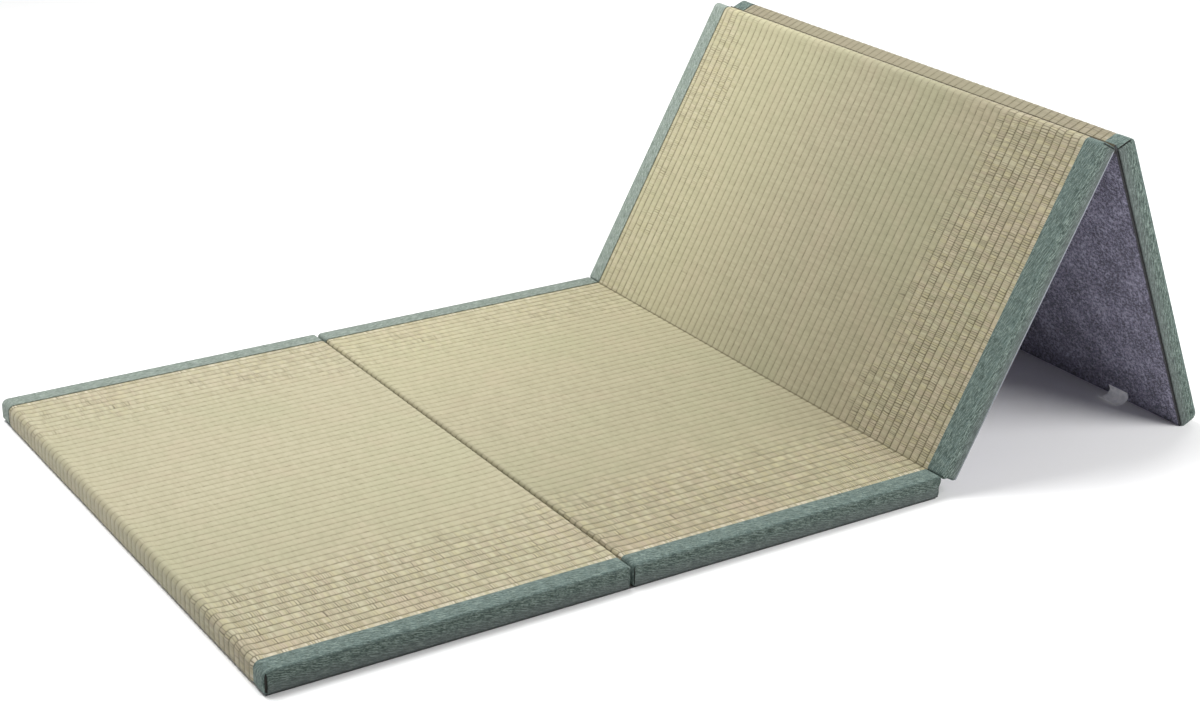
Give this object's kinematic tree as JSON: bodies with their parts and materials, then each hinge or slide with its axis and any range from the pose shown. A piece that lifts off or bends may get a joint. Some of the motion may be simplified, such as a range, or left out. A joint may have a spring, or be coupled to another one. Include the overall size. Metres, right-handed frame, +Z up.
{
  "type": "folding tatami mat",
  "caption": "Folding rush floor mat with cloth-bound long sides and a felt back, half unfolded: part of it lies flat on the floor and the rest stands as a tent.",
  "frame": {"origin": "centre of the bounding box, on the floor", "axes": "+X along the mat from the free end of the flat panels to the foot of the standing ones, +Y across it to the far long side, +Z up"},
  "size_m": [1.5716, 0.935, 0.4923],
  "materials": {
    "rush": "matt woven rush, pale straw with a green cast",
    "felt": "matt mottled felt",
    "binding": "matt woven cloth, grey green",
    "label": "thin smooth ribbon, blank"
  },
  "bodies": {
    "root": {"rush_panel_1": "rush", "rush_panels_2_3": "rush", "rush_panel_4": "rush", "felt_back_1_2": "felt", "felt_back_3_4": "felt", "binding_1_near": "binding", "binding_1_far": "binding", "binding_2_near": "binding", "binding_2_far": "binding", "binding_3_near": "binding", "binding_3_far": "binding", "binding_4_near": "binding", "binding_4_far": "binding", "label": "label"}
  },
  "joints": []
}
